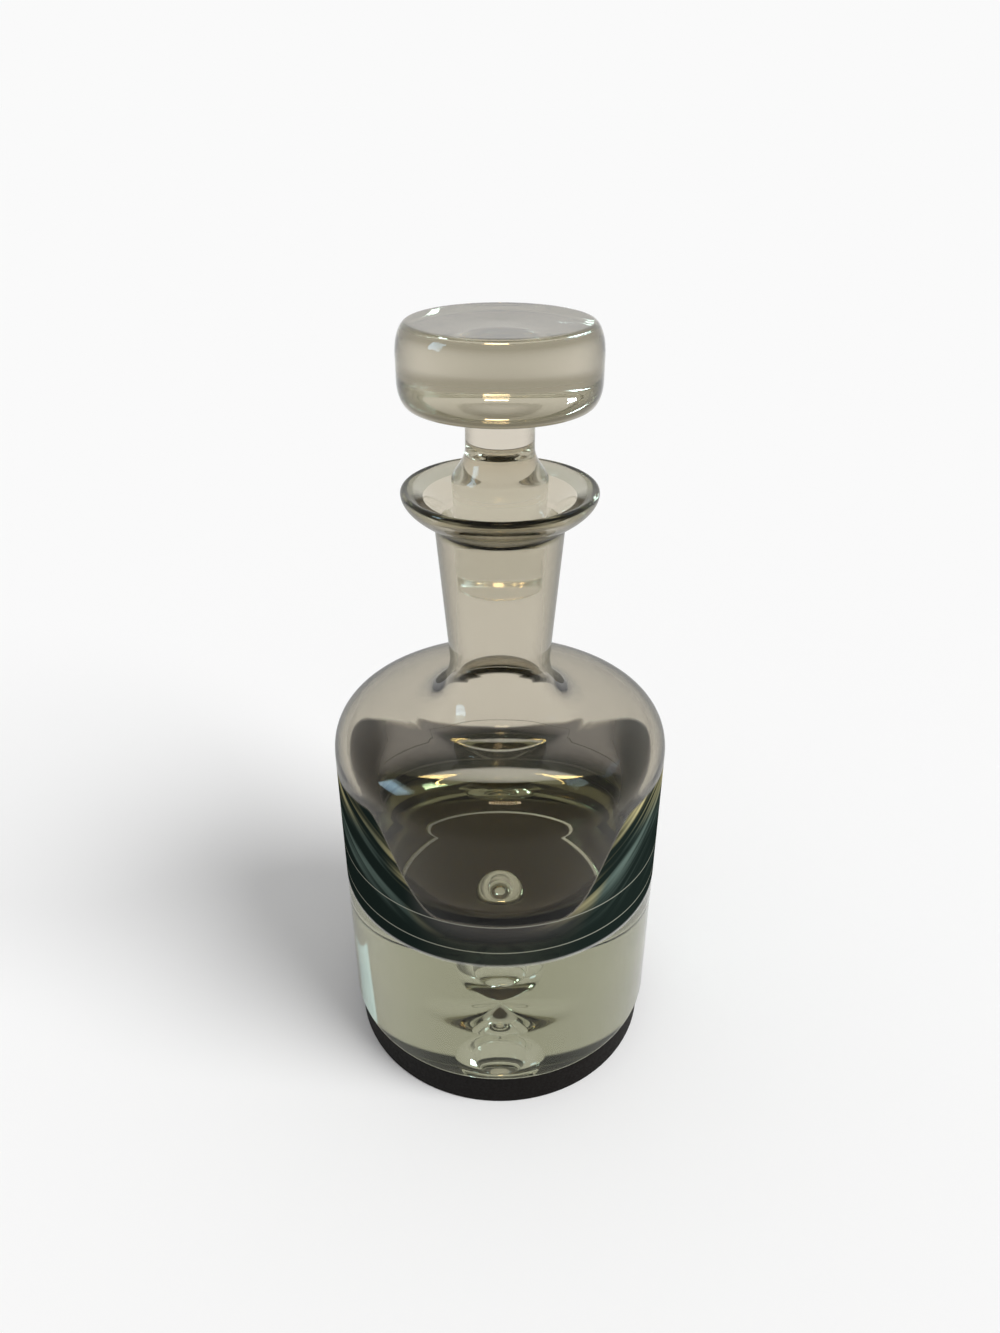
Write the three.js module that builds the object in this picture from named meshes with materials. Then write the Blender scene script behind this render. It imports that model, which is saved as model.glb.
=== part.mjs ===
// Glass decanter: a blown vessel on a heavy clear base with one trapped bubble, a dark foot pad
// under the base, and a solid stopper with a disc knob and a ground peg.
// Millimetres, +Z up. The origin is in the middle of the underside of the foot pad.
import * as THREE from 'three';

// Driving dimensions of the body
const bodyRadius = 55;
const sideHeight = 105.3;
const wall = 3.5;
const heelRound = 1.5;

// Foot pad under the glass
const padRadius = 53.5;
const padThickness = 13.1;
const padEdgeRound = 0.6;

// Heavy base: glass below the cavity floor, the bubble in it and the pit under the bubble
const baseDepth = 50.9;
const bubbleRadius = 8.9;
const bubbleHeight = 26.6;
const bubbleAbovePit = 1.6;
const pitRadius = 16;
const pitDepth = 7.8;

// Cavity: flat floor, and the bowl that carries it up into the wall
const floorRadius = 24;
const bowlHeight = 30;

// Shoulder, between the straight side and the neck
const shoulderRise = 15.5;
const shoulderWall = 3;
const shoulderFullness = 0.66;
const neckFillet = 13;
const neckFilletRise = 16;
const mouthFlare = 6;
const mouthRise = 17;
const mouthEdge = 2;
const mouthRound = 11;

// Neck and lip
const neckRootRadius = 16;
const neckTopRadius = 19.6;
const neckLength = 61.6;
const lipRadius = 29.1;
const lipRise = 10.9;
const lipEdgeRound = 1.2;
const rimBandWidth = 6.5;
const rimBandDrop = 2.6;

// Bore, with the ground taper that takes the peg at its upper end
const boreRadius = 13.1;
const groundLength = 17.3;
const groundFlare = 0.75;
const groundTopBelowLip = 13.4;

// Stopper
const fitClearance = 0.3;
const pegTipRound = 2.2;
const pegAboveLip = 2;
const stemRadius = 10;
const stemFlareRise = 10;
const stemHeight = 7.5;
const knobUndersideRise = 4.9;
const knobRadius = 28.6;
const knobHeight = 22.2;
const knobLowerCorner = 3;
const knobLowerCornerHeight = 6.9;
const knobUpperCorner = 3.6;
const knobUpperCornerHeight = 8.6;
const knobDish = 0.4;

// Facets round the axis, and steps along each curved stretch of an outline
const around = 48;
const curveSteps = 5;

// Heights worked out from the sizes above
const glassBottom = padThickness;
const pitTop = glassBottom + pitDepth;
const bubbleBottom = pitTop + bubbleAbovePit;
const bubbleMiddle = bubbleBottom + bubbleHeight / 2;
const bubbleTop = bubbleBottom + bubbleHeight;
const floorLevel = glassBottom + baseDepth;
const shoulderStart = glassBottom + sideHeight;
const shoulderTop = shoulderStart + shoulderRise;
const neckTop = shoulderTop + neckLength;
const lipTop = neckTop + lipRise;
const ceiling = shoulderTop - shoulderWall;
const groundTop = lipTop - groundTopBelowLip;
const groundBottom = groundTop - groundLength;
const pegTop = lipTop + pegAboveLip;

// Part of a straight control leg that makes a quarter of a circle, and of the fuller turn into the ceiling
const roundLeg = 0.5523;
const mouthFullness = 0.7;

// Free curves: where their two control points lie, as shares of the curve's own width and rise
const pitCurve = { tipOut: 0.08, tipUp: 0.62, skirtOut: 0.42, skirtUp: 0.1 };
const lipCurve = { out: 0.62, up: 0.32, edgeUp: 0.6 };
const wellCurve = { rimIn: 0.4, rimDown: 0.3, seatOut: 0.45, seatUp: 0.36 };
const flareCurve = { pegUp: 0.3, stemDown: 0.5 };
const undersideCurve = { stemUp: 0.75, out: 0.5, down: 0.2 };

// Adds a quarter turn that leaves the last point upright or level and arrives the other way,
// with control legs of the given fullness.
function quarterTurn(path, r, z, leavesUpright, fullness = roundLeg) {
  const from = path.currentPoint.clone();
  const dr = r - from.x;
  const dz = z - from.y;
  if (leavesUpright) {
    path.bezierCurveTo(from.x, from.y + fullness * dz, r - fullness * dr, z, r, z);
  } else {
    path.bezierCurveTo(from.x + fullness * dr, from.y, r, z - fullness * dz, r, z);
  }
}

// Adds a rounded corner: a curve that leaves towards the corner and arrives from it.
function roundedCorner(path, corner, end, fullness = roundLeg) {
  const nearStart = path.currentPoint.clone().lerp(corner, fullness);
  const nearEnd = end.clone().lerp(corner, fullness);
  path.bezierCurveTo(nearStart.x, nearStart.y, nearEnd.x, nearEnd.y, end.x, end.y);
}

// Radius of the ground taper at a height: the seat in the bore, and the peg that runs on above it.
function taperRadius(z) {
  return boreRadius + groundFlare * (z - groundBottom) / groundLength;
}

// Turns an outline of radius and height round the Z axis.
function turned(name, path, material) {
  const points = path.getPoints(curveSteps);
  const geometry = new THREE.LatheGeometry(points, around);
  geometry.rotateX(Math.PI / 2);
  const mesh = new THREE.Mesh(geometry, material);
  mesh.name = name;
  return mesh;
}

// Foot pad: a plain disc with softened rims, set back under the heel of the glass.
function footPadOutline() {
  const path = new THREE.Path();
  path.moveTo(0, 0);
  path.lineTo(padRadius - padEdgeRound, 0);
  quarterTurn(path, padRadius, padEdgeRound, false);
  path.lineTo(padRadius, padThickness - padEdgeRound);
  quarterTurn(path, padRadius - padEdgeRound, padThickness, true);
  path.lineTo(0, padThickness);
  return path;
}

// Heavy base: the lower gather, with the pit of the pontil under it and the lower half of the bubble
// as a pocket in its upper face.
function heavyBaseOutline() {
  const path = new THREE.Path();
  path.moveTo(0, pitTop);
  path.bezierCurveTo(
    pitCurve.tipOut * pitRadius, glassBottom + pitCurve.tipUp * pitDepth,
    pitCurve.skirtOut * pitRadius, glassBottom + pitCurve.skirtUp * pitDepth,
    pitRadius, glassBottom,
  );
  path.lineTo(bodyRadius - heelRound, glassBottom);
  quarterTurn(path, bodyRadius, glassBottom + heelRound, false);
  path.lineTo(bodyRadius, bubbleMiddle);
  path.lineTo(bubbleRadius, bubbleMiddle);
  quarterTurn(path, 0, bubbleBottom, true);
  return path;
}

// Vessel: the blown upper gather. The outline runs from the top of the bubble down its upper half,
// out along the seam, up the outside to the lip, and back down through bore and cavity to the floor.
function vesselOutline() {
  const innerRadius = bodyRadius - wall;
  const path = new THREE.Path();
  path.moveTo(0, bubbleTop);
  quarterTurn(path, bubbleRadius, bubbleMiddle, false);
  path.lineTo(bodyRadius, bubbleMiddle);
  path.lineTo(bodyRadius, shoulderStart);
  quarterTurn(path, neckRootRadius + neckFillet, shoulderTop, true, shoulderFullness);
  quarterTurn(path, neckRootRadius, shoulderTop + neckFilletRise, false);
  path.lineTo(neckTopRadius, neckTop);
  // The lip swells out of the neck and stands upright at its edge.
  path.bezierCurveTo(
    neckTopRadius + lipCurve.out * (lipRadius - neckTopRadius), neckTop + lipCurve.up * lipRise,
    lipRadius, neckTop + lipCurve.edgeUp * lipRise,
    lipRadius, lipTop - lipEdgeRound,
  );
  quarterTurn(path, lipRadius - lipEdgeRound, lipTop, true);
  // Sloping rim band, then the well of the lip, down to the ground seat of the peg.
  const wellRadius = lipRadius - rimBandWidth;
  const wellTop = lipTop - rimBandDrop;
  const seatRadius = taperRadius(groundTop);
  const wellWidth = wellRadius - seatRadius;
  const wellDepth = wellTop - groundTop;
  path.lineTo(wellRadius, wellTop);
  path.bezierCurveTo(
    wellRadius - wellCurve.rimIn * wellWidth, wellTop - wellCurve.rimDown * wellDepth,
    seatRadius + wellCurve.seatOut * wellWidth, groundTop + wellCurve.seatUp * wellDepth,
    seatRadius, groundTop,
  );
  path.lineTo(boreRadius, groundBottom);
  // The mouth: a tight edge under the bore, then a curve that runs beside the fillet outside it.
  const edge = new THREE.Vector2(boreRadius, ceiling + mouthRise);
  const foot = new THREE.Vector2(boreRadius + mouthFlare, ceiling);
  const slope = foot.clone().sub(edge).setLength(mouthEdge);
  path.lineTo(edge.x, edge.y + mouthEdge);
  roundedCorner(path, edge, edge.clone().add(slope));
  roundedCorner(path, foot, new THREE.Vector2(foot.x + mouthRound, ceiling), mouthFullness);
  quarterTurn(path, innerRadius, shoulderStart, false, shoulderFullness);
  path.lineTo(innerRadius, floorLevel + bowlHeight);
  quarterTurn(path, floorRadius, floorLevel, true);
  path.lineTo(0, floorLevel);
  return path;
}

// Stopper: a peg ground to the bore, which runs up past the lip in one straight taper, stem and disc knob.
function stopperOutline() {
  const pegBottom = groundBottom;
  const pegTopRadius = taperRadius(pegTop) - fitClearance;
  const stemBottom = pegTop + stemFlareRise;
  const stemTop = stemBottom + stemHeight;
  const knobBottom = stemTop + knobUndersideRise;
  const knobTop = knobBottom + knobHeight;
  const path = new THREE.Path();
  path.moveTo(0, pegBottom);
  const edgeTop = pegBottom + pegTipRound;
  const edgeRadius = taperRadius(edgeTop) - fitClearance;
  path.lineTo(edgeRadius - pegTipRound, pegBottom);
  quarterTurn(path, edgeRadius, edgeTop, false);
  path.lineTo(pegTopRadius, pegTop);
  path.bezierCurveTo(
    pegTopRadius, pegTop + flareCurve.pegUp * stemFlareRise,
    stemRadius, stemBottom - flareCurve.stemDown * stemFlareRise,
    stemRadius, stemBottom,
  );
  path.lineTo(stemRadius, stemTop);
  // Underside of the knob: a fillet off the stem, then a shallow bowl out to the lower corner.
  path.bezierCurveTo(
    stemRadius, stemTop + undersideCurve.stemUp * knobUndersideRise,
    stemRadius + undersideCurve.out * (knobRadius - stemRadius),
    knobBottom - undersideCurve.down * knobUndersideRise,
    knobRadius - knobLowerCorner, knobBottom,
  );
  quarterTurn(path, knobRadius, knobBottom + knobLowerCornerHeight, false);
  path.lineTo(knobRadius, knobTop - knobUpperCornerHeight);
  quarterTurn(path, knobRadius - knobUpperCorner, knobTop, true);
  path.lineTo(0, knobTop - knobDish);
  return path;
}

const smokedGlass = new THREE.MeshStandardMaterial({
  color: 0xb9b0a2, roughness: 0.03, metalness: 0, transparent: true, opacity: 0.4,
});
const clearGlass = new THREE.MeshStandardMaterial({
  color: 0xc9c6b4, roughness: 0.03, metalness: 0, transparent: true, opacity: 0.35,
});
const darkRubber = new THREE.MeshStandardMaterial({
  color: 0x28201c, roughness: 0.7, metalness: 0,
});

const decanter = new THREE.Group();
decanter.add(
  turned('foot_pad', footPadOutline(), darkRubber),
  turned('heavy_base', heavyBaseOutline(), clearGlass),
  turned('vessel', vesselOutline(), smokedGlass),
  turned('stopper', stopperOutline(), clearGlass),
);

export default decanter;
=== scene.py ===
"""Looks of a round glass decanter: one fused glass body with a trapped bubble, its stopper and its foot pad.

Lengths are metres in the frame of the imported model, +Z up, with the origin under the middle of the foot pad.
"""
import math

import bmesh
import bpy
from bpy.props import FloatProperty, FloatVectorProperty, IntProperty, PointerProperty
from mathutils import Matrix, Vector


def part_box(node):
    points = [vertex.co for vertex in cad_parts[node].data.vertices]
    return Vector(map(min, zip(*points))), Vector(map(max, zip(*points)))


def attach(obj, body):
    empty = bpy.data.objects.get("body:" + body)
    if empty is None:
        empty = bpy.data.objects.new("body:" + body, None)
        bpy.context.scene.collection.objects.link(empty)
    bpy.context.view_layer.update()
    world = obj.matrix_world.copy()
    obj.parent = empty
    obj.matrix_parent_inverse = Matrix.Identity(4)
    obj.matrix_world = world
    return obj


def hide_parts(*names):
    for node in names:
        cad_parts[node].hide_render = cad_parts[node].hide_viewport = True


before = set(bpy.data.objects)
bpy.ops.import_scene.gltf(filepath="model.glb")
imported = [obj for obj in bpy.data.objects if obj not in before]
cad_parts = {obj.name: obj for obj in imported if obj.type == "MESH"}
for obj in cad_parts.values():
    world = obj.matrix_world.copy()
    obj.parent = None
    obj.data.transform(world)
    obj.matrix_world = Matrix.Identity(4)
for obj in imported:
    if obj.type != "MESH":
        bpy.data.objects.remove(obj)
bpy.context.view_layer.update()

bl_info = {
    "name": "Glass Decanter",
    "version": (1, 0, 0),
    "blender": (4, 5, 0),
    "location": "View3D > Sidebar > Decanter",
    "description": "Builds the glass body, stopper and foot pad of a decanter, and a plain studio for them",
    "category": "Object",
}

MM = 0.001
# Height of the photograph in pixels, the unit of the camera's focus
PHOTO_HEIGHT = 1333
# Part of a straight control leg that makes a quarter of a circle, and of the fuller turns of
# the shoulder and of the mouth
ROUND_LEG = 0.5523
SHOULDER_LEG = 0.66
MOUTH_LEG = 0.7
# Free curves: where their two control points lie, as shares of the curve's own width and rise
PIT_TIP, PIT_SKIRT = (0.08, 0.62), (0.42, 0.1)
LIP_SWELL, LIP_EDGE_UP = (0.62, 0.32), 0.6
WELL_RIM, WELL_SEAT = (0.4, 0.3), (0.45, 0.36)
FLARE_PEG_UP, FLARE_STEM_DOWN = 0.3, 0.5
UNDERSIDE_STEM_UP, UNDERSIDE_BOWL = 0.75, (0.5, 0.2)
# Distance under which points of a turned mesh are one
WELD_REACH = 0.001 * MM
# Attribute of a turned mesh: 1 on the outside of the glass, 0 in its bore and cavity
OUTSIDE = "outside"

WHITE = (1, 1, 1)
GLASS_IOR = 1.52
# Roughness of glass ground with fine grit
GROUND_ROUGHNESS = 0.08
# Slants, from face on at 0 to edge on at 1, between which the glass takes on its edge colours, darker edges
# that are partly the longer path through the glass and partly painted shade
WALL_SLANT = (0.3, 0.75)
STOPPER_SLANT = (0.25, 0.8)
PAINTED_SHADE_SLANT = (0.2, 0.45)
PAINTED_LINING_SLANT = (0.34, 0.52)
RIM_SLANT = (0.6, 0.8)
OUTLINE_SHADE_SLANT = (0.6, 0.92)
# Upper edge of the painted shade band: its sways in a turn, and the fine detail of its wavering with that
# detail's weight
SWAYS = 2.0
WAVER_DETAIL, WAVER_WEIGHT = 1.0, 0.4
# Turns of the sway, from -1 at the front to 1 at the sides, between which the painted shade band climbs its
# flanks
FLANK_CLIMB = (-0.8, 0.1)
# Strengths of the noise between which a painted streak of reflected light on the flanks comes out
STREAK_SHARE = (0.48, 0.78)
# How much of the light a painted highlight line keeps back in its middle
LINE_DEPTH = 0.8
# How much of the light the rim of the lip and the outlines of the walls keep back, seen edge on, as painted
# shade
RIM_SHADE_DEPTH = 0.8
OUTLINE_SHADE_DEPTH = 0.45
# Mirror strength of the glass where its painted shade lets no light through
PAINTED_SHADE_GLOSS = 0.0
# Rubber: size and depth of its grit, how strongly that shows, the strengths of the noise in its hollows
# and on its crests with the roughness there, and the mirror strength
GRIT_SIZE, GRIT_DEPTH, GRIT_STRENGTH = 0.8 * MM, 0.1 * MM, 0.25
GRIT_SPAN, RUBBER_ROUGHNESS = (0.3, 0.7), (0.55, 0.75)
RUBBER_GLOSS = 0.1
# How far down the painted light on the pad's upper face, a lighter brown, runs out
FACE_DEPTH = 0.05 * MM

PAD_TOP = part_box("foot_pad")[1].z
PAD_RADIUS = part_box("foot_pad")[1].x
BODY_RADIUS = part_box("vessel")[1].x
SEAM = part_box("heavy_base")[1].z
LIP_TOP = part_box("vessel")[1].z
PEG_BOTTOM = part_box("stopper")[0].z
KNOB_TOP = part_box("stopper")[1].z
KNOB_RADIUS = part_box("stopper")[1].x


def linear(code):
    """Linear colour of an sRGB hex code."""
    parts = [int(code[i:i + 2], 16) / 255 for i in (0, 2, 4)]
    return tuple(c / 12.92 if c <= 0.04045 else ((c + 0.055) / 1.055) ** 2.4 for c in parts)


def length(name, description, millimetres):
    """A length property with its default in millimetres."""
    return FloatProperty(
        name=name, description=description, default=millimetres * MM, unit="LENGTH", precision=4)


def tint(name, description, code):
    """A colour property with its default as an sRGB hex code."""
    return FloatVectorProperty(name=name, description=description, subtype="COLOR", default=linear(code))


class DecanterSizes(bpy.types.PropertyGroup):
    """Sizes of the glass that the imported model's boxes don't give."""

    wall: length("Wall", "Glass between the cavity and the straight side", 3.5)
    side_height: length("Side", "Straight side, from the underside of the glass to the shoulder", 105.3)
    heel_round: length("Heel round", "Rounding of the lower edge of the glass", 1.5)
    base_depth: length("Base depth", "Glass under the cavity floor", 50.9)
    bubble_radius: length("Bubble radius", "Half the width of the trapped bubble", 8.9)
    bubble_height: length("Bubble height", "Height of the trapped bubble", 26.6)
    pit_radius: length("Pit radius", "Half the width of the pontil pit in the underside", 16)
    pit_depth: length("Pit depth", "Depth of the pontil pit", 7.8)
    floor_radius: length("Floor radius", "Flat middle of the cavity floor", 24)
    bowl_height: length("Bowl height", "Rise of the cavity floor into the wall", 30)
    shoulder_rise: length("Shoulder rise", "Height of the shoulder", 15.5)
    shoulder_wall: length("Shoulder wall", "Glass between shoulder and cavity", 3)
    neck_fillet: length("Neck fillet", "Width of the fillet between shoulder and neck", 13)
    neck_fillet_rise: length("Neck fillet rise", "Height of that fillet", 16)
    neck_root_radius: length("Neck root", "Radius of the neck where it leaves the shoulder", 16)
    neck_top_radius: length("Neck top", "Radius of the neck under the lip", 19.6)
    neck_length: length("Neck length", "Straight taper of the neck", 61.6)
    lip_radius: length("Lip radius", "Half the width of the lip", 29.1)
    lip_edge_round: length("Lip edge", "Rounding of the fire-polished edge", 1.2)
    rim_band_width: length("Rim band", "Width of the sloping band inside the edge", 6.5)
    rim_band_drop: length("Rim drop", "Fall of the rim band", 2.6)
    mouth_flare: length("Mouth flare", "Widening of the bore on its slope down to the ceiling", 6)
    mouth_rise: length("Mouth rise", "Height of that slope", 17)
    mouth_edge: length("Mouth edge", "Rounding of the lower edge of the bore", 2)
    mouth_round: length("Mouth round", "Reach of the curve from that slope into the ceiling", 11)
    bore_radius: length("Bore radius", "Half the width of the bore", 13.1)
    ground_length: length("Ground length", "Length of the ground seat of the peg", 17.3)
    ground_flare: length("Ground flare", "Taper of the ground seat", 0.75)
    fit_clearance: length("Fit", "Gap between peg and seat", 0.3)
    peg_tip_round: length("Peg tip", "Rounding of the lower edge of the peg", 2.2)
    peg_above_lip: length("Peg over lip", "Height of the peg over the lip", 2)
    stem_radius: length("Stem radius", "Half the width of the stem", 10)
    stem_flare_rise: length("Stem flare", "Height of the curve from peg to stem", 10)
    stem_height: length("Stem height", "Straight stretch of the stem", 7.5)
    knob_underside_rise: length("Knob underside", "Height of the curve from stem to knob", 4.9)
    knob_lower_corner: length("Lower corner", "Width of the knob's lower rounding", 3)
    knob_lower_corner_height: length("Lower corner height", "Height of the knob's lower rounding", 6.9)
    knob_upper_corner: length("Upper corner", "Width of the knob's upper rounding", 3.6)
    knob_upper_corner_height: length("Upper corner height", "Height of the knob's upper rounding", 8.6)
    knob_dish: length("Knob dish", "Dip in the middle of the knob's top", 0.4)
    pad_edge_round: length("Pad edge", "Softened edges of the foot pad", 0.6)
    pad_gap: length("Pad gap", "Air under the glass where it rests on the pad", 0.15)
    # Band of painted shade round the foot of the wall, standing for dark surroundings seen through the glass
    painted_shade_foot: length("Smoke foot", "Height of the lower edge of the smoke casing", 68.4)
    painted_shade_full: length("Smoke full", "Height up to which the casing is at its darkest", 75)
    painted_shade_thin: length("Smoke thin", "Height from which the casing is thin", 88)
    painted_shade_top: length("Smoke top", "Mean height of the upper edge of the smoke casing", 98.5)
    painted_shade_sway: length("Smoke sway", "Rise and fall of that edge, twice in a turn", 16.5)
    painted_shade_tilt: length("Smoke tilt", "Fall of that edge from the axis to the back", 3)
    painted_shade_waver: length("Smoke waver", "Small wavering of that edge", 3)
    painted_shade_wave: length("Smoke wave", "Length of that wavering along the edge", 35)
    painted_shade_edge: length("Smoke edge", "Half the softness of the edges of the casing", 1)
    # Painted streaks of reflected light in the band's flanks, and painted golden glints under its upper edge
    streak_length: length("Streak length", "Length of the streaks in the flanks of the casing", 60)
    streak_width: length("Streak width", "Width of those streaks", 5.5)
    painted_glint_reach: length("Gold reach", "Depth under the casing's edge in which the streaks are golden", 14)
    # Painted shade on the inner surface of the cavity, darkest in the bowl
    painted_lining_foot: length("Lining foot", "Height from which the lining of the bowl is painted_shaded", 70)
    painted_lining_full: length("Lining full", "Height above which that lining is at its darkest", 80)
    painted_lining_lift: length("Lining lift", "Height of the lining's upper edge over the casing's", 2.5)
    # Painted highlight lines round the band of painted shade
    low_line: length("Low line", "Height of the lower hairline round the casing", 74.2)
    high_line: length("High line", "Height of the upper hairline round the casing", 85)
    line_width: length("Line width", "Half the width of the hairlines", 0.35)
    around: IntProperty(name="Around", description="Facets round the axis", default=192, min=24)


class DecanterColours(bpy.types.PropertyGroup):
    """Colours of the glass, the pad and the studio; painted shade, highlights, glints and light are among
    them.
    """

    glass_tint: tint("Glass", "What is left of white after one tint depth of glass", "B4B4A0")
    tint_depth: length("Tint depth", "Depth of glass in the body that gives the glass colour", 80)
    stopper_depth: length("Stopper depth", "Depth of glass in the stopper that gives the glass colour", 160)
    wall_tint: tint("Walls", "Colour of light that crosses two surfaces of the thin walls", "C8C0B0")
    # Edge colours: partly the longer path through the glass, partly painted shade
    wall_edge_shade: tint("Wall edges", "Colour of light that crosses two surfaces of a wall edge on", "5C5A50")
    stopper_tint: tint("Stopper", "Colour of light that crosses two surfaces of the stopper", "E2DACE")
    # Partly the longer path through the glass, partly painted shade
    stopper_edge_shade: tint("Stopper edges", "Colour of light that crosses the stopper edge on", "6A6454")
    # Painted shade on the knob's lower corner
    knob_corner_shade: tint("Knob corner", "Colour of light that crosses the knob's lower corner", "8A8372")
    # Band of painted shade, standing for dark surroundings seen through the glass
    painted_shade: tint("Smoke", "Colour of light that crosses the darkest smoke casing twice", "0E100E")
    thin_painted_shade: tint("Thin smoke", "Colour of light that crosses the thin smoke casing twice", "7E7A78")
    painted_shade_edge_on: tint("Smoke edge on", "Colour of the smoke casing seen edge on", "1A2320")
    # Painted streaks of reflected light, and painted golden glints
    painted_shade_streak: tint("Streaks", "Colour of the streaks in the flanks of the casing", "607069")
    painted_gold_glint: tint("Golden streaks", "Colour of the streaks under the casing's upper edge", "D2C894")
    # Painted highlight lines
    highlight_line: tint("Hairlines", "Colour of the hairlines round the casing", "A4A698")
    # Painted shade on the inner surface of the cavity
    painted_lining: tint("Lining", "Colour of light that crosses the lining of the cavity twice", "D6D6CC")
    bowl_painted_lining: tint("Bowl lining", "Colour of light that crosses the painted_shaded lining twice", "86827C")
    painted_lining_edge: tint("Lining edge", "Colour of the painted_shaded lining seen edge on", "625E5A")
    well_tint: tint("Lip well", "Colour of light that crosses two surfaces of the lip's well", "DDD6C6")
    rim_tint: tint("Rim", "Colour of light that crosses two surfaces of the rim band", "AEB0A2")
    # Painted shade of the rim band seen edge on
    rim_edge_shade: tint("Rim edge", "Colour of the rim band seen edge on", "5C564A")
    gloss: FloatVectorProperty(
        name="Gloss", description="Strength of the mirror image on the glass, face on",
        subtype="COLOR", default=(0.15, 0.15, 0.15))
    rubber: tint("Rubber", "Colour of the foot pad", "0F0C0A")
    # Painted light: the pad's upper face is lighter, standing for light that reaches it through the glass
    lit_pad_face: tint("Pad face", "Colour of the pad's upper face, seen through the glass", "8C7C64")
    studio: tint("Studio", "Pale floor and backdrop", "FAFAFA")


class Outline:
    """Half section of a turned piece: points of radius and height, with curves in close steps."""

    CURVE_STEPS = 16
    LINE_STEP = 4 * MM

    def __init__(self, r, z):
        self.points = [(r, z)]

    def line(self, r, z):
        """Straight stretch, with steps that close up towards both ends to keep the shading true."""
        r0, z0 = self.points[-1]
        steps = max(2, math.ceil(math.hypot(r - r0, z - z0) / self.LINE_STEP))
        for i in range(1, steps + 1):
            t = (1 - math.cos(math.pi * i / steps)) / 2
            self.points.append((r0 + t * (r - r0), z0 + t * (z - z0)))

    def curve(self, near_start, near_end, end):
        """Curve with two control points."""
        start = self.points[-1]
        for i in range(1, self.CURVE_STEPS + 1):
            t = i / self.CURVE_STEPS
            u = 1 - t
            weights = (u ** 3, 3 * u * u * t, 3 * u * t * t, t ** 3)
            corners = (start, near_start, near_end, end)
            self.points.append(tuple(sum(w * c[k] for w, c in zip(weights, corners)) for k in (0, 1)))

    def quarter(self, r, z, leaves_upright, fullness=ROUND_LEG):
        """Quarter turn that leaves upright or level and arrives the other way."""
        r0, z0 = self.points[-1]
        if leaves_upright:
            self.curve((r0, z0 + fullness * (z - z0)), (r - fullness * (r - r0), z), (r, z))
        else:
            self.curve((r0 + fullness * (r - r0), z0), (r, z - fullness * (z - z0)), (r, z))

    def corner(self, at, end, fullness=ROUND_LEG):
        """Rounded corner: a curve that leaves towards the corner and arrives from it."""
        legs = [[p + fullness * (c - p) for p, c in zip(point, at)] for point in (self.points[-1], end)]
        self.curve(*legs, end)


def taper_radius(s, z):
    """Radius of the ground taper at a height: the seat in the bore, and the peg that runs on above it."""
    return s.bore_radius + s.ground_flare * (z - PEG_BOTTOM) / s.ground_length


def outer_outline(s):
    """Underside of the glass body with its pit, then the outside up to the edge of the lip."""
    shoulder_start = PAD_TOP + s.side_height
    shoulder_top = shoulder_start + s.shoulder_rise
    neck_top = shoulder_top + s.neck_length
    lip_rise = LIP_TOP - neck_top
    lip_width = s.lip_radius - s.neck_top_radius
    path = Outline(0, PAD_TOP + s.pit_depth)
    path.curve(
        (PIT_TIP[0] * s.pit_radius, PAD_TOP + PIT_TIP[1] * s.pit_depth),
        (PIT_SKIRT[0] * s.pit_radius, PAD_TOP + PIT_SKIRT[1] * s.pit_depth),
        (s.pit_radius, PAD_TOP))
    path.line(BODY_RADIUS - s.heel_round, PAD_TOP)
    path.quarter(BODY_RADIUS, PAD_TOP + s.heel_round, False)
    path.line(BODY_RADIUS, shoulder_start)
    path.quarter(s.neck_root_radius + s.neck_fillet, shoulder_top, True, SHOULDER_LEG)
    path.quarter(s.neck_root_radius, shoulder_top + s.neck_fillet_rise, False)
    path.line(s.neck_top_radius, neck_top)
    path.curve(
        (s.neck_top_radius + LIP_SWELL[0] * lip_width, neck_top + LIP_SWELL[1] * lip_rise),
        (s.lip_radius, neck_top + LIP_EDGE_UP * lip_rise),
        (s.lip_radius, LIP_TOP - s.lip_edge_round))
    path.quarter(s.lip_radius - s.lip_edge_round, LIP_TOP, True)
    return path.points


def inner_outline(s):
    """Rim band, well of the lip, ground seat, bore and cavity, down to the middle of the floor."""
    shoulder_start = PAD_TOP + s.side_height
    ceiling = shoulder_start + s.shoulder_rise - s.shoulder_wall
    inner_radius = BODY_RADIUS - s.wall
    floor_level = PAD_TOP + s.base_depth
    well_radius = s.lip_radius - s.rim_band_width
    well_top = LIP_TOP - s.rim_band_drop
    seat_top = PEG_BOTTOM + s.ground_length
    seat_radius = taper_radius(s, seat_top)
    well_width = well_radius - seat_radius
    well_depth = well_top - seat_top
    path = Outline(s.lip_radius - s.lip_edge_round, LIP_TOP)
    path.line(well_radius, well_top)
    path.curve(
        (well_radius - WELL_RIM[0] * well_width, well_top - WELL_RIM[1] * well_depth),
        (seat_radius + WELL_SEAT[0] * well_width, seat_top + WELL_SEAT[1] * well_depth),
        (seat_radius, seat_top))
    path.line(s.bore_radius, PEG_BOTTOM)
    # The mouth: a tight edge under the bore, then a curve that runs beside the fillet outside it.
    edge = Vector((s.bore_radius, ceiling + s.mouth_rise))
    foot = Vector((s.bore_radius + s.mouth_flare, ceiling))
    path.line(edge.x, edge.y + s.mouth_edge)
    path.corner(edge, tuple(edge + s.mouth_edge * (foot - edge).normalized()))
    path.corner(foot, (foot.x + s.mouth_round, ceiling), MOUTH_LEG)
    path.quarter(inner_radius, shoulder_start, False, SHOULDER_LEG)
    path.line(inner_radius, floor_level + s.bowl_height)
    path.quarter(s.floor_radius, floor_level, True)
    path.line(0, floor_level)
    return path.points


def bubble_outline(s):
    """Egg of trapped air, centred on the seam of the two gathers."""
    path = Outline(0, SEAM - s.bubble_height / 2)
    path.quarter(s.bubble_radius, SEAM, False)
    path.quarter(0, SEAM + s.bubble_height / 2, True)
    return path.points


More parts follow.
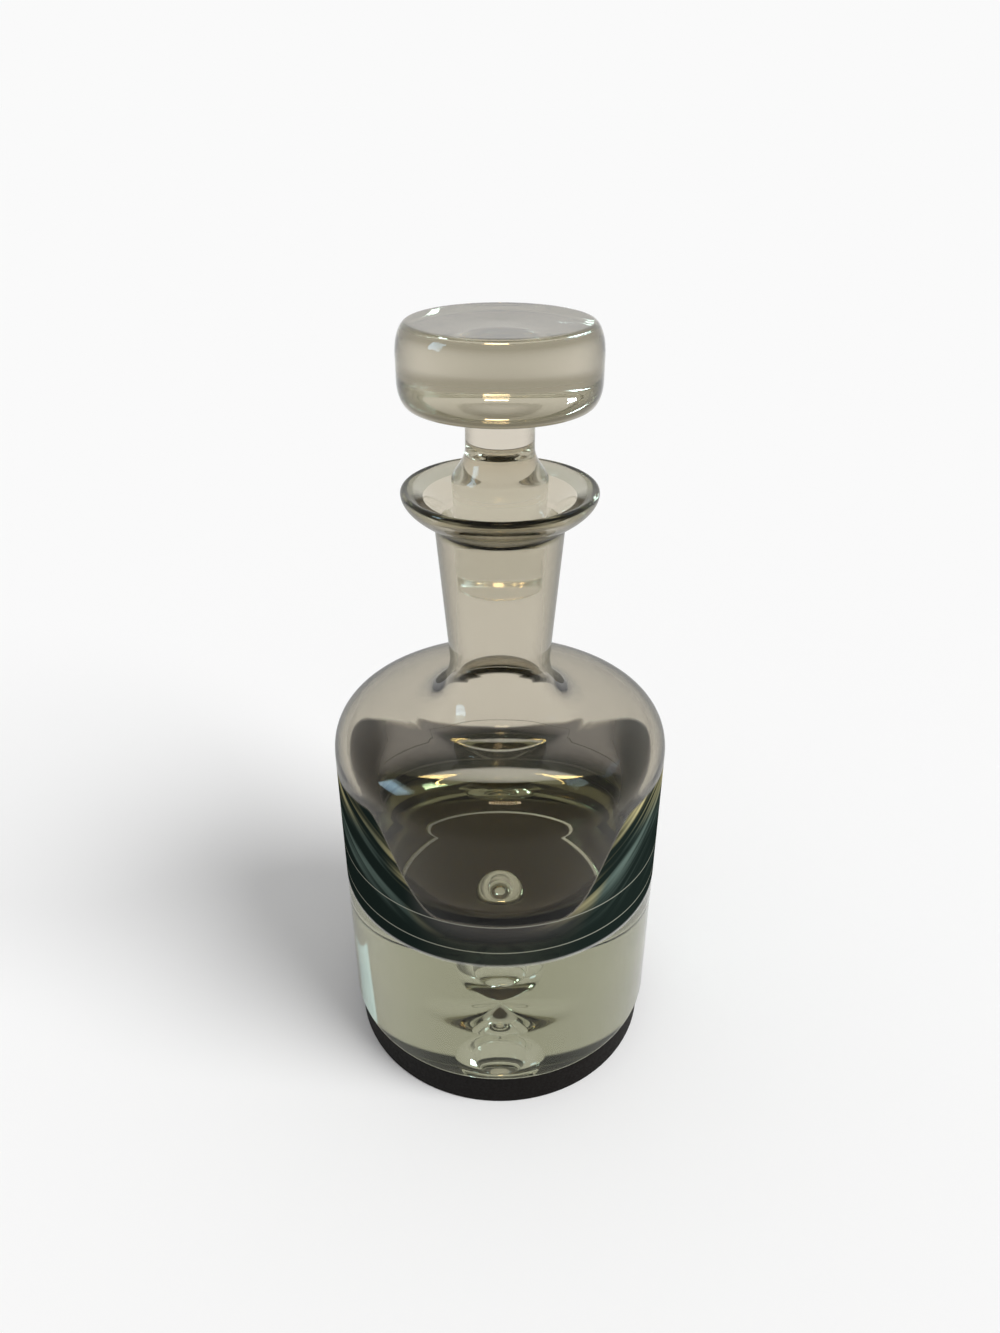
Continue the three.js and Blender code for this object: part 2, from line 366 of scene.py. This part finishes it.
def stopper_outline(s):
    """Ground peg, which runs up past the lip in one straight taper, stem and disc knob."""
    edge_top = PEG_BOTTOM + s.peg_tip_round
    edge_radius = taper_radius(s, edge_top) - s.fit_clearance
    peg_top = LIP_TOP + s.peg_above_lip
    peg_radius = taper_radius(s, peg_top) - s.fit_clearance
    stem_bottom = peg_top + s.stem_flare_rise
    stem_top = stem_bottom + s.stem_height
    knob_bottom = stem_top + s.knob_underside_rise
    knob_width = KNOB_RADIUS - s.stem_radius
    path = Outline(0, PEG_BOTTOM)
    path.line(edge_radius - s.peg_tip_round, PEG_BOTTOM)
    path.quarter(edge_radius, edge_top, False)
    path.line(peg_radius, peg_top)
    path.curve(
        (peg_radius, peg_top + FLARE_PEG_UP * s.stem_flare_rise),
        (s.stem_radius, stem_bottom - FLARE_STEM_DOWN * s.stem_flare_rise),
        (s.stem_radius, stem_bottom))
    path.line(s.stem_radius, stem_top)
    path.curve(
        (s.stem_radius, stem_top + UNDERSIDE_STEM_UP * s.knob_underside_rise),
        (s.stem_radius + UNDERSIDE_BOWL[0] * knob_width,
         knob_bottom - UNDERSIDE_BOWL[1] * s.knob_underside_rise),
        (KNOB_RADIUS - s.knob_lower_corner, knob_bottom))
    path.quarter(KNOB_RADIUS, knob_bottom + s.knob_lower_corner_height, False)
    path.line(KNOB_RADIUS, KNOB_TOP - s.knob_upper_corner_height)
    path.quarter(KNOB_RADIUS - s.knob_upper_corner, KNOB_TOP, True)
    path.line(0, KNOB_TOP - s.knob_dish)
    return path.points


def foot_pad_outline(s):
    """Plain disc with softened edges, a hair lower than the glass."""
    top = PAD_TOP - s.pad_gap
    path = Outline(0, 0)
    path.line(PAD_RADIUS - s.pad_edge_round, 0)
    path.quarter(PAD_RADIUS, s.pad_edge_round, False)
    path.line(PAD_RADIUS, top - s.pad_edge_round)
    path.quarter(PAD_RADIUS - s.pad_edge_round, top, True)
    path.line(0, top)
    return path.points


def add_node(tree, kind, settings=None, **inputs):
    """Adds a node with its settings; an input is a value or the socket that feeds it."""
    node = tree.nodes.new(kind)
    for name, value in (settings or {}).items():
        setattr(node, name, value)
    for name, value in inputs.items():
        socket = node.inputs[int(name[1:])] if name[0] == "_" else node.inputs[name.replace("_", " ")]
        if isinstance(value, bpy.types.NodeSocket):
            tree.links.new(value, socket)
        else:
            socket.default_value = value
    return node


def turning_tree():
    """Geometry tree that turns an outline of points round the Z axis."""
    tree = bpy.data.node_groups.new("Turned outline", "GeometryNodeTree")
    face = tree.interface
    face.new_socket("Outline", in_out="INPUT", socket_type="NodeSocketGeometry")
    face.new_socket("Around", in_out="INPUT", socket_type="NodeSocketInt")
    face.new_socket("Finish", in_out="INPUT", socket_type="NodeSocketMaterial")
    face.new_socket("Turned", in_out="OUTPUT", socket_type="NodeSocketGeometry")
    given = tree.nodes.new("NodeGroupInput").outputs
    rows = add_node(tree, "GeometryNodeAttributeDomainSize", Geometry=given["Outline"]).outputs["Point Count"]
    columns = add_node(tree, "ShaderNodeMath", {"operation": "ADD"}, _0=given["Around"], _1=1.0).outputs[0]
    grid = add_node(
        tree, "GeometryNodeMeshGrid", Size_X=1.0, Size_Y=1.0, Vertices_X=columns, Vertices_Y=rows)
    position = add_node(tree, "GeometryNodeInputPosition").outputs[0]
    place = add_node(tree, "ShaderNodeSeparateXYZ", _0=position).outputs
    last = add_node(tree, "ShaderNodeMath", {"operation": "SUBTRACT"}, _0=rows, _1=1.0).outputs[0]
    # The flat grid is 1 by 1 round the origin: its X runs round the turn, its Y along the outline's points.
    turn, row = [
        add_node(
            tree, "ShaderNodeMapRange", {"clamp": False},
            Value=place[axis], From_Min=-0.5, From_Max=0.5, To_Max=end).outputs[0]
        for axis, end in (("X", 2 * math.pi), ("Y", last))]
    row = add_node(tree, "FunctionNodeFloatToInt", {"rounding_mode": "ROUND"}, _0=row).outputs[0]
    point = add_node(
        tree, "GeometryNodeSampleIndex", {"data_type": "FLOAT_VECTOR", "domain": "POINT"},
        Geometry=given["Outline"], Value=position, Index=row)
    section = add_node(tree, "ShaderNodeSeparateXYZ", _0=point.outputs["Value"]).outputs
    marked = add_node(
        tree, "GeometryNodeInputNamedAttribute", {"data_type": "FLOAT"}, Name=OUTSIDE).outputs[0]
    outside = add_node(
        tree, "GeometryNodeSampleIndex", {"data_type": "FLOAT", "domain": "POINT"},
        Geometry=given["Outline"], Value=marked, Index=row)
    axes = []
    for axis in ("COSINE", "SINE"):
        share = add_node(tree, "ShaderNodeMath", {"operation": axis}, _0=turn).outputs[0]
        axes.append(add_node(tree, "ShaderNodeMath", {"operation": "MULTIPLY"}, _0=section["X"], _1=share))
    spot = add_node(
        tree, "ShaderNodeCombineXYZ", X=axes[0].outputs[0], Y=axes[1].outputs[0], Z=section["Z"]).outputs[0]
    # The attribute is stored first, because its row is read from the places of the flat grid.
    skin = add_node(
        tree, "GeometryNodeStoreNamedAttribute", {"data_type": "FLOAT", "domain": "POINT"},
        Geometry=grid.outputs["Mesh"], Name=OUTSIDE, Value=outside.outputs["Value"]).outputs[0]
    skin = add_node(tree, "GeometryNodeSetPosition", Geometry=skin, Position=spot).outputs[0]
    skin = add_node(tree, "GeometryNodeMergeByDistance", Geometry=skin, Distance=WELD_REACH).outputs[0]
    skin = add_node(tree, "GeometryNodeSetShadeSmooth", Geometry=skin).outputs[0]
    skin = add_node(tree, "GeometryNodeRealizeInstances", Geometry=skin).outputs[0]
    skin = add_node(tree, "GeometryNodeSetMaterial", Geometry=skin, Material=given["Finish"]).outputs[0]
    tree.links.new(skin, tree.nodes.new("NodeGroupOutput").inputs["Turned"])
    return tree


def turned(name, points, around, finish, inside=0):
    """Turns an outline with the geometry tree and returns the result as a plain mesh, faces outwards.

    The last points of the outline, as many as inside says, lie in the bore and the cavity.
    """
    tree = bpy.data.node_groups.get("Turned outline") or turning_tree()
    outline = bpy.data.meshes.new(name + "_outline")
    edges = [(i, i + 1) for i in range(len(points) - 1)]
    outline.from_pydata([(r, 0, z) for r, z in points], edges, [])
    skin = outline.attributes.new(OUTSIDE, "FLOAT", "POINT")
    skin.data.foreach_set("value", [float(i < len(points) - inside) for i in range(len(points))])
    holder = bpy.data.objects.new(name + "_outline", outline)
    bpy.context.scene.collection.objects.link(holder)
    modifier = holder.modifiers.new("Turn", "NODES")
    modifier.node_group = tree
    named = {item.name: item.identifier for item in tree.interface.items_tree if item.in_out == "INPUT"}
    modifier[named["Around"]] = around
    modifier[named["Finish"]] = finish
    bpy.context.view_layer.update()
    ready = holder.evaluated_get(bpy.context.evaluated_depsgraph_get())
    mesh = bpy.data.meshes.new_from_object(ready)
    mesh.name = name
    holder.modifiers.remove(modifier)
    bpy.data.objects.remove(holder)
    bpy.data.meshes.remove(outline)
    shape = bmesh.new()
    shape.from_mesh(mesh)
    bmesh.ops.recalc_face_normals(shape, faces=shape.faces)
    shape.to_mesh(mesh)
    shape.free()
    return mesh


def piece(name, mesh):
    """Puts a finished mesh into the scene as an object at the origin."""
    item = bpy.data.objects.new(name, mesh)
    bpy.context.scene.collection.objects.link(item)
    return item


def new_material(name):
    """Empty node material with its output, and the output's node."""
    material = bpy.data.materials.new(name)
    material.use_nodes = True
    material.node_tree.nodes.clear()
    return material, material.node_tree.nodes.new("ShaderNodeOutputMaterial")


def glass_volume(tree, colours, depth):
    """Even tint inside the glass: white light keeps the glass colour after the given depth."""
    dense = [-math.log(c) / depth for c in colours.glass_tint]
    most = max(dense)
    kept = [1 - d / most for d in dense]
    return add_node(tree, "ShaderNodeVolumeAbsorption", Color=(*kept, 1), Density=most).outputs[0]


def soft_shares(tree, *spans):
    """Shares that grow softly from 0 to 1 while their values run from a start to an end."""
    return [
        add_node(
            tree, "ShaderNodeMapRange", {"interpolation_type": "SMOOTHSTEP"},
            Value=value, From_Min=start, From_Max=end).outputs[0]
        for value, start, end in spans]


def overlap(tree, first, *others):
    """Share of a place that lies in all of several shares at once."""
    whole = first
    for share in others:
        whole = add_node(tree, "ShaderNodeMath", {"operation": "MULTIPLY"}, _0=whole, _1=share).outputs[0]
    return whole


def layered(tree, ground, *layers):
    """A ground colour with further colours laid over it, each by its share."""
    for share, colour in layers:
        under, over = [c if isinstance(c, bpy.types.NodeSocket) else (*c, 1) for c in (ground, colour)]
        ground = add_node(
            tree, "ShaderNodeMix", {"data_type": "RGBA"}, _0=share, _6=under, _7=over).outputs[2]
    return ground


def edge_on(tree, *slants):
    """Shares that grow from 0 to 1 as a surface turns away from the eye, each between two slants."""
    slant = add_node(tree, "ShaderNodeLayerWeight").outputs["Facing"]
    return soft_shares(tree, *((slant, start, full) for start, full in slants))


def ground_seat(tree, s, height):
    """Roughness of the glass that was ground to a faint satin between the ends of the seat, 0 elsewhere."""
    over = add_node(
        tree, "ShaderNodeMath", {"operation": "GREATER_THAN"}, _0=height, _1=PEG_BOTTOM).outputs[0]
    under = add_node(
        tree, "ShaderNodeMath", {"operation": "LESS_THAN"},
        _0=height, _1=PEG_BOTTOM + s.ground_length).outputs[0]
    return overlap(tree, over, under, GROUND_ROUGHNESS)


def painted_shade_levels(tree, s, spot, place):
    """Heights in the band of painted shade and in the painted shade of the bowl's inner surface, levelled so
    that an upper edge is even.

    Both edges sway twice in a turn, fall to the back and waver, so that they follow the edge of dark
    surroundings seen through the glass. At the front the band climbs its flanks more steeply than the inner
    shade does.
    """
    angle = add_node(
        tree, "ShaderNodeMath", {"operation": "ARCTAN2"}, _0=place["Y"], _1=place["X"]).outputs[0]
    tilt = add_node(tree, "ShaderNodeMath", {"operation": "SINE"}, _0=angle).outputs[0]
    turn = add_node(tree, "ShaderNodeMath", {"operation": "MULTIPLY"}, _0=angle, _1=SWAYS).outputs[0]
    sway = add_node(tree, "ShaderNodeMath", {"operation": "COSINE"}, _0=turn).outputs[0]
    steep = add_node(
        tree, "ShaderNodeMapRange", {"interpolation_type": "SMOOTHSTEP"}, Value=sway,
        From_Min=FLANK_CLIMB[0], From_Max=FLANK_CLIMB[1], To_Min=-1.0).outputs[0]
    front = add_node(tree, "ShaderNodeMath", {"operation": "LESS_THAN"}, _0=tilt, _1=0.0).outputs[0]
    climb = add_node(tree, "ShaderNodeMix", {"data_type": "FLOAT"}, _0=front, _2=sway, _3=steep).outputs[0]
    noise = add_node(
        tree, "ShaderNodeTexNoise", Vector=spot, Scale=1 / s.painted_shade_wave,
        Detail=WAVER_DETAIL, Roughness=WAVER_WEIGHT).outputs["Fac"]
    wave = add_node(
        tree, "ShaderNodeMapRange", Value=noise, To_Min=-s.painted_shade_waver, To_Max=s.painted_shade_waver).outputs[0]
    levels = []
    for rise in (climb, sway):
        level = add_node(
            tree, "ShaderNodeMath", {"operation": "MULTIPLY_ADD"},
            _0=rise, _1=-s.painted_shade_sway, _2=place["Z"]).outputs[0]
        level = add_node(
            tree, "ShaderNodeMath", {"operation": "MULTIPLY_ADD"},
            _0=tilt, _1=s.painted_shade_tilt, _2=level).outputs[0]
        levels.append(add_node(tree, "ShaderNodeMath", {"operation": "ADD"}, _0=level, _1=wave).outputs[0])
    return levels


def streaked_painted_shade(tree, s, colours, place, shade_band_level, painted_lining_level):
    """Colour of the band of painted shade seen edge on: painted streaks of reflected light drawn out along the
    sway, with painted golden glints at the top.
    """
    drawn = add_node(tree, "ShaderNodeCombineXYZ", X=place["X"], Y=place["Y"], Z=painted_lining_level).outputs[0]
    drawn = add_node(
        tree, "ShaderNodeVectorMath", {"operation": "DIVIDE"}, _0=drawn,
        _1=(s.streak_length, s.streak_length, s.streak_width)).outputs[0]
    noise = add_node(tree, "ShaderNodeTexNoise", Vector=drawn, Scale=1.0).outputs["Fac"]
    streak, rising, gold = soft_shares(
        tree, (noise, *STREAK_SHARE), (place["Z"], s.low_line, s.high_line + s.painted_glint_reach),
        (shade_band_level, s.painted_shade_top - s.painted_glint_reach, s.painted_shade_top))
    streaks = layered(tree, colours.painted_shade_streak, (gold, colours.painted_gold_glint))
    return layered(tree, colours.painted_shade_edge_on, (overlap(tree, streak, rising), streaks))


def highlight_lines(tree, s, height, outside):
    """Shares of the two painted highlight lines that run round the band of painted shade."""
    shares = []
    for level in (s.low_line, s.high_line):
        off = add_node(tree, "ShaderNodeMath", {"operation": "SUBTRACT"}, _0=height, _1=level).outputs[0]
        off = add_node(tree, "ShaderNodeMath", {"operation": "ABSOLUTE"}, _0=off).outputs[0]
        line, = soft_shares(tree, (off, s.line_width, 0.0))
        shares.append(overlap(tree, line, LINE_DEPTH, outside))
    return shares


def painted_shaded_glass(s, colours):
    """Soda-lime glass, blown and fire-polished: clear and faintly olive in the thick base, warm grey in the
    thin walls.
    Painted shade lies in its colour: a band round the foot of the wall, near black where it is crossed twice,
    standing for dark surroundings seen through the glass, more on the cavity's inner surface and on the edges,
    and painted highlight lines and glints on the band."""
    material, out = new_material("Soda-lime glass with painted shade")
    tree = material.node_tree
    spot = add_node(tree, "ShaderNodeTexCoord").outputs["Object"]
    place = add_node(tree, "ShaderNodeSeparateXYZ", _0=spot).outputs
    height = place["Z"]
    outside = add_node(tree, "ShaderNodeAttribute", {"attribute_name": OUTSIDE}).outputs["Fac"]
    inside = add_node(tree, "ShaderNodeMath", {"operation": "SUBTRACT"}, _0=1.0, _1=outside).outputs[0]
    shade_band_level, painted_lining_level = painted_shade_levels(tree, s, spot, place)
    painted_lining_top = s.painted_shade_top + s.painted_lining_lift
    in_painted_shade, in_painted_lining, over, thin, bowl = soft_shares(
        tree, (shade_band_level, s.painted_shade_top + s.painted_shade_edge, s.painted_shade_top - s.painted_shade_edge),
        (painted_lining_level, painted_lining_top + s.painted_shade_edge, painted_lining_top - s.painted_shade_edge),
        (height, s.painted_shade_foot - s.painted_shade_edge, s.painted_shade_foot + s.painted_shade_edge),
        (height, s.painted_shade_full, s.painted_shade_thin), (height, s.painted_lining_foot, s.painted_lining_full))
    well, rim = [
        add_node(tree, "ShaderNodeMath", {"operation": "GREATER_THAN"}, _0=height, _1=level).outputs[0]
        for level in (PEG_BOTTOM + s.ground_length, LIP_TOP - s.rim_band_drop)]
    # Edge-on shares: the band and the cavity's inner surface go dark as painted shade; walls, rim and outlines
    # darken partly by the longer path through the glass and partly as painted shade
    wall_edge_shade, painted_shade_edge, painted_lining_edge, rim_edge_shade, outline = edge_on(
        tree, WALL_SLANT, PAINTED_SHADE_SLANT, PAINTED_LINING_SLANT, RIM_SLANT, OUTLINE_SHADE_SLANT)
    # Painted highlight lines round the band
    lines = highlight_lines(tree, s, height, outside)
    walls = layered(tree, colours.wall_tint, (wall_edge_shade, colours.wall_edge_shade))
    # The band of painted shade round the foot of the wall, with its painted streaks and glints seen edge on
    casing = streaked_painted_shade(tree, s, colours, place, shade_band_level, painted_lining_level)
    painted_shade = layered(tree, colours.painted_shade, (thin, colours.thin_painted_shade), (painted_shade_edge, casing))
    skin = layered(tree, WHITE, (over, layered(tree, walls, (in_painted_shade, painted_shade))))
    # Painted shade on the inner surface of the cavity, darkest in the bowl
    bowl_painted_lining = layered(tree, colours.bowl_painted_lining, (painted_lining_edge, colours.painted_lining_edge))
    painted_lining = layered(tree, colours.painted_lining, (bowl, bowl_painted_lining))
    rim_band = layered(tree, colours.rim_tint, (rim_edge_shade, colours.rim_edge_shade))
    lip = layered(tree, WHITE, (well, colours.well_tint), (rim, rim_band))
    colour = layered(
        tree, lip, (in_painted_lining, painted_lining), (outside, skin), *((line, colours.highlight_line) for line in lines))
    # Seen edge on, the painted shade of the band and of the cavity's inner surface lets nothing through; the
    # painted shade of the rim and of the outlines, and the painted highlight lines, keep back their set
    # depths.
    held = overlap(tree, painted_shade_edge, in_painted_shade, over, outside)
    for share in (
            overlap(tree, painted_lining_edge, in_painted_lining, bowl, inside), overlap(tree, rim_edge_shade, RIM_SHADE_DEPTH, rim, inside),
            overlap(tree, outline, OUTLINE_SHADE_DEPTH, over, outside), *lines):
        held = add_node(tree, "ShaderNodeMath", {"operation": "MAXIMUM"}, _0=held, _1=share).outputs[0]
    through = add_node(tree, "ShaderNodeMath", {"operation": "SUBTRACT"}, _0=1.0, _1=held).outputs[0]
    rough = overlap(tree, ground_seat(tree, s, height), inside)
    glass = add_node(
        tree, "ShaderNodeBsdfPrincipled", Base_Color=colour, Roughness=rough, IOR=GLASS_IOR,
        Transmission_Weight=through, Specular_IOR_Level=PAINTED_SHADE_GLOSS, Specular_Tint=(*colours.gloss, 1))
    tree.links.new(glass.outputs[0], out.inputs["Surface"])
    tree.links.new(glass_volume(tree, colours, colours.tint_depth), out.inputs["Volume"])
    return material


def clear_glass(s, colours):
    """Soda-lime glass, pressed and polished: clear with a warm cast, faintly satin on its ground peg; painted
    shade darkens the knob's lower corner, and partly darkens the edges seen edge on.
    """
    material, out = new_material("Clear soda-lime glass")
    tree = material.node_tree
    spot = add_node(tree, "ShaderNodeTexCoord").outputs["Object"]
    height = add_node(tree, "ShaderNodeSeparateXYZ", _0=spot).outputs["Z"]
    stem_bottom = LIP_TOP + s.peg_above_lip + s.stem_flare_rise
    stem_top = stem_bottom + s.stem_height
    knob_bottom = stem_top + s.knob_underside_rise
    # The knob's lower corner is darkened with painted shade, standing for dark surroundings seen in it.
    knob, lower, upper = soft_shares(
        tree, (height, LIP_TOP - s.rim_band_drop, stem_bottom), (height, stem_top, knob_bottom),
        (height, knob_bottom + s.knob_lower_corner_height, knob_bottom + s.knob_lower_corner))
    # Seen edge on, the stopper darkens, partly by its longer path through the glass and partly as painted
    # shade
    stopper_edge_shade, = edge_on(tree, STOPPER_SLANT)
    knob_tint = layered(
        tree, colours.stopper_tint, (overlap(tree, lower, upper), colours.knob_corner_shade),
        (stopper_edge_shade, colours.stopper_edge_shade))
    glass = add_node(
        tree, "ShaderNodeBsdfPrincipled", Base_Color=layered(tree, WHITE, (knob, knob_tint)),
        Roughness=ground_seat(tree, s, height), IOR=GLASS_IOR, Transmission_Weight=1.0,
        Specular_Tint=(*colours.gloss, 1))
    tree.links.new(glass.outputs[0], out.inputs["Surface"])
    tree.links.new(glass_volume(tree, colours, colours.stopper_depth), out.inputs["Volume"])
    return material


def moulded_rubber(s, colours):
    """Moulded rubber: black brown and matt, with the fine grit of its mould, and painted light on its upper
    face:
    a lighter brown that stands for light reaching it through the glass.
    """
    material, out = new_material("Moulded rubber")
    tree = material.node_tree
    spot = add_node(tree, "ShaderNodeTexCoord").outputs["Object"]
    height = add_node(tree, "ShaderNodeSeparateXYZ", _0=spot).outputs["Z"]
    grit = add_node(tree, "ShaderNodeTexNoise", Vector=spot, Scale=1 / GRIT_SIZE).outputs["Fac"]
    bump = add_node(
        tree, "ShaderNodeBump", Strength=GRIT_STRENGTH, Distance=GRIT_DEPTH, Height=grit).outputs[0]
    rough = add_node(
        tree, "ShaderNodeMapRange", Value=grit, From_Min=GRIT_SPAN[0], From_Max=GRIT_SPAN[1],
        To_Min=RUBBER_ROUGHNESS[0], To_Max=RUBBER_ROUGHNESS[1]).outputs[0]
    # Painted light: the upper face is a lighter brown, standing for light that reaches it through the glass
    top = PAD_TOP - s.pad_gap
    face = add_node(
        tree, "ShaderNodeMapRange", Value=height, From_Min=top - FACE_DEPTH, From_Max=top).outputs[0]
    rubber = add_node(
        tree, "ShaderNodeBsdfPrincipled", Base_Color=layered(tree, colours.rubber, (face, colours.lit_pad_face)),
        Roughness=rough, Normal=bump, Specular_IOR_Level=RUBBER_GLOSS)
    tree.links.new(rubber.outputs[0], out.inputs["Surface"])
    return material


def settings():
    """The sizes and colours held by the scene."""
    return bpy.context.scene.decanter_sizes, bpy.context.scene.decanter_colours


class DECANTER_OT_glass_body(bpy.types.Operator):
    """Turn the glass body: vessel and heavy base in one fused piece, with the trapped bubble inside"""

    bl_idname = "decanter.glass_body"
    bl_label = "Glass Body"

    def execute(self, context):
        s, colours = settings()
        finish = painted_shaded_glass(s, colours)
        outer, inner = outer_outline(s), inner_outline(s)[1:]
        mesh = turned("glass_body", outer + inner, s.around, finish, len(inner))
        bubble = turned("bubble", bubble_outline(s), s.around, finish)
        bubble.flip_normals()
        shape = bmesh.new()
        shape.from_mesh(mesh)
        shape.from_mesh(bubble)
        shape.to_mesh(mesh)
        shape.free()
        bpy.data.meshes.remove(bubble)
        body = piece("glass_body", mesh)
        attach(body, "decanter")
        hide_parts("vessel", "heavy_base")
        return {"FINISHED"}


class DECANTER_OT_stopper(bpy.types.Operator):
    """Turn the stopper with its ground peg"""

    bl_idname = "decanter.stopper"
    bl_label = "Stopper"

    def execute(self, context):
        s, colours = settings()
        mesh = turned("glass_stopper", stopper_outline(s), s.around, clear_glass(s, colours))
        item = piece("glass_stopper", mesh)
        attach(item, "stopper")
        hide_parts("stopper")
        return {"FINISHED"}


class DECANTER_OT_foot_pad(bpy.types.Operator):
    """Turn the foot pad"""

    bl_idname = "decanter.foot_pad"
    bl_label = "Foot Pad"

    def execute(self, context):
        s, colours = settings()
        mesh = turned("rubber_pad", foot_pad_outline(s), s.around, moulded_rubber(s, colours))
        item = piece("rubber_pad", mesh)
        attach(item, "decanter")
        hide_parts("foot_pad")
        return {"FINISHED"}


class DECANTER_OT_stage(bpy.types.Operator):
    """Set up the pale floor, the soft light and the camera"""

    bl_idname = "decanter.stage"
    bl_label = "Stage"

    BOUNCES = 32
    FLOOR_HALF = 40.0
    # Shares of the light on the floor that come from all round and from the key light
    FILL_LEVEL = 0.5
    KEY_LEVEL = 0.5
    KEY_FROM = Vector((0.75, -0.42, 0.85))
    KEY_ANGLE = math.radians(35)
    # Lamps seen only in the glass, turned to one aim: name, place, width, height, level and colour
    AIM = Vector((0, 0, 110)) * MM
    GLINTS = (
        ("warm_lamp", Vector((0.05, -0.55, 1.35)), 0.34, 0.12, 40, "FFE2B8"),
        ("window", Vector((-1.2, -0.25, 0.85)), 0.40, 0.50, 24, "BFE4FF"),
        ("side_window", Vector((0.83, 0.25, 1.0)), 0.34, 0.14, 1.8, "A8D4FF"),
    )
    CAMERA_PLACE = Vector((0, -272.04, 304.06)) * MM
    CAMERA_PITCH = math.radians(30.24)
    CAMERA_FOCUS = 975.04
    SENSOR = 36.0

    def execute(self, context):
        scene = context.scene
        colours = scene.decanter_colours
        scene.view_settings.view_transform = "Standard"
        # Light runs round inside thick glass, so paths are let go on for longer than usual.
        scene.cycles.max_bounces = self.BOUNCES
        scene.cycles.glossy_bounces = self.BOUNCES
        scene.cycles.transmission_bounces = self.BOUNCES
        self.floor(colours)
        self.world(scene, colours)
        self.key_light(scene)
        self.glints(scene)
        self.camera(scene)
        return {"FINISHED"}

    def floor(self, colours):
        """Wide sheet of pale, matt paper under the object, which takes its shadow."""
        material, out = new_material("Pale paper floor")
        paper = add_node(material.node_tree, "ShaderNodeBsdfDiffuse", Color=(*colours.studio, 1))
        material.node_tree.links.new(paper.outputs[0], out.inputs["Surface"])
        half = self.FLOOR_HALF
        mesh = bpy.data.meshes.new("floor")
        corners = [(-half, -half, 0), (half, -half, 0), (half, half, 0), (-half, half, 0)]
        mesh.from_pydata(corners, [], [(0, 1, 2, 3)])
        mesh.materials.append(material)
        piece("floor", mesh)

    def world(self, scene, colours):
        """Fill light all round; camera, mirror and glass rays see the pale backdrop instead."""
        world = bpy.data.worlds.new("Studio")
        world.use_nodes = True
        scene.world = world
        tree = world.node_tree
        tree.nodes.clear()
        path = add_node(tree, "ShaderNodeLightPath").outputs
        seen = path["Is Camera Ray"]
        for kind in ("Is Glossy Ray", "Is Transmission Ray"):
            seen = add_node(
                tree, "ShaderNodeMath", {"operation": "ADD", "use_clamp": True},
                _0=seen, _1=path[kind]).outputs[0]
        fill = add_node(
            tree, "ShaderNodeBackground", Color=(*WHITE, 1), Strength=self.FILL_LEVEL).outputs[0]
        backdrop = add_node(tree, "ShaderNodeBackground", Color=(*colours.studio, 1)).outputs[0]
        shown = add_node(tree, "ShaderNodeMixShader", _0=seen, _1=fill, _2=backdrop).outputs[0]
        tree.links.new(shown, tree.nodes.new("ShaderNodeOutputWorld").inputs["Surface"])

    def key_light(self, scene):
        """Broad soft sun from the right of the front, which draws the shadow and isn't mirrored."""
        lamp = bpy.data.lights.new("key", "SUN")
        lamp.angle = self.KEY_ANGLE
        upright = self.KEY_FROM.normalized().z
        lamp.energy = self.KEY_LEVEL * math.pi / upright
        item = bpy.data.objects.new("key", lamp)
        item.rotation_euler = self.KEY_FROM.to_track_quat("Z", "Y").to_euler()
        item.visible_glossy = False
        item.visible_transmission = False
        scene.collection.objects.link(item)

    def glints(self, scene):
        """Small lamps, one warm overhead and two cool at the sides, that draw the bright glints."""
        for name, place, wide, high, level, colour in self.GLINTS:
            lamp = bpy.data.lights.new(name, "AREA")
            lamp.shape = "RECTANGLE"
            lamp.size = wide
            lamp.size_y = high
            lamp.energy = level * math.pi * wide * high
            lamp.color = linear(colour)
            item = bpy.data.objects.new(name, lamp)
            item.location = place
            item.rotation_euler = (place - self.AIM).to_track_quat("Z", "Y").to_euler()
            item.visible_diffuse = False
            scene.collection.objects.link(item)

    def camera(self, scene):
        """Camera at the photograph's viewing angle, with its focus in pixels made a focal length."""
        lens = bpy.data.cameras.new("camera")
        lens.sensor_fit = "VERTICAL"
        lens.sensor_height = self.SENSOR
        lens.lens = self.CAMERA_FOCUS / PHOTO_HEIGHT * self.SENSOR
        item = bpy.data.objects.new("camera", lens)
        item.location = self.CAMERA_PLACE
        item.rotation_euler = (math.pi / 2 - self.CAMERA_PITCH, 0, 0)
        scene.collection.objects.link(item)
        scene.camera = item


class DECANTER_PT_panel(bpy.types.Panel):
    """Buttons for the pieces of the decanter, with their sizes and colours"""

    bl_idname = "DECANTER_PT_panel"
    bl_label = "Glass Decanter"
    bl_space_type = "VIEW_3D"
    bl_region_type = "UI"
    bl_category = "Decanter"

    def draw(self, context):
        layout = self.layout
        for operator in OPERATORS:
            layout.operator(operator.bl_idname)
        for group in (context.scene.decanter_sizes, context.scene.decanter_colours):
            box = layout.box()
            for name in group.__annotations__:
                box.prop(group, name)


OPERATORS = (DECANTER_OT_glass_body, DECANTER_OT_stopper, DECANTER_OT_foot_pad, DECANTER_OT_stage)
CLASSES = (DecanterSizes, DecanterColours, *OPERATORS, DECANTER_PT_panel)


def register():
    for kind in CLASSES:
        bpy.utils.register_class(kind)
    bpy.types.Scene.decanter_sizes = PointerProperty(type=DecanterSizes)
    bpy.types.Scene.decanter_colours = PointerProperty(type=DecanterColours)


def unregister():
    del bpy.types.Scene.decanter_colours
    del bpy.types.Scene.decanter_sizes
    for kind in reversed(CLASSES):
        bpy.utils.unregister_class(kind)


def main():
    register()
    bpy.ops.decanter.glass_body()
    bpy.ops.decanter.stopper()
    bpy.ops.decanter.foot_pad()
    bpy.ops.decanter.stage()


if __name__ == "__main__":
    main()
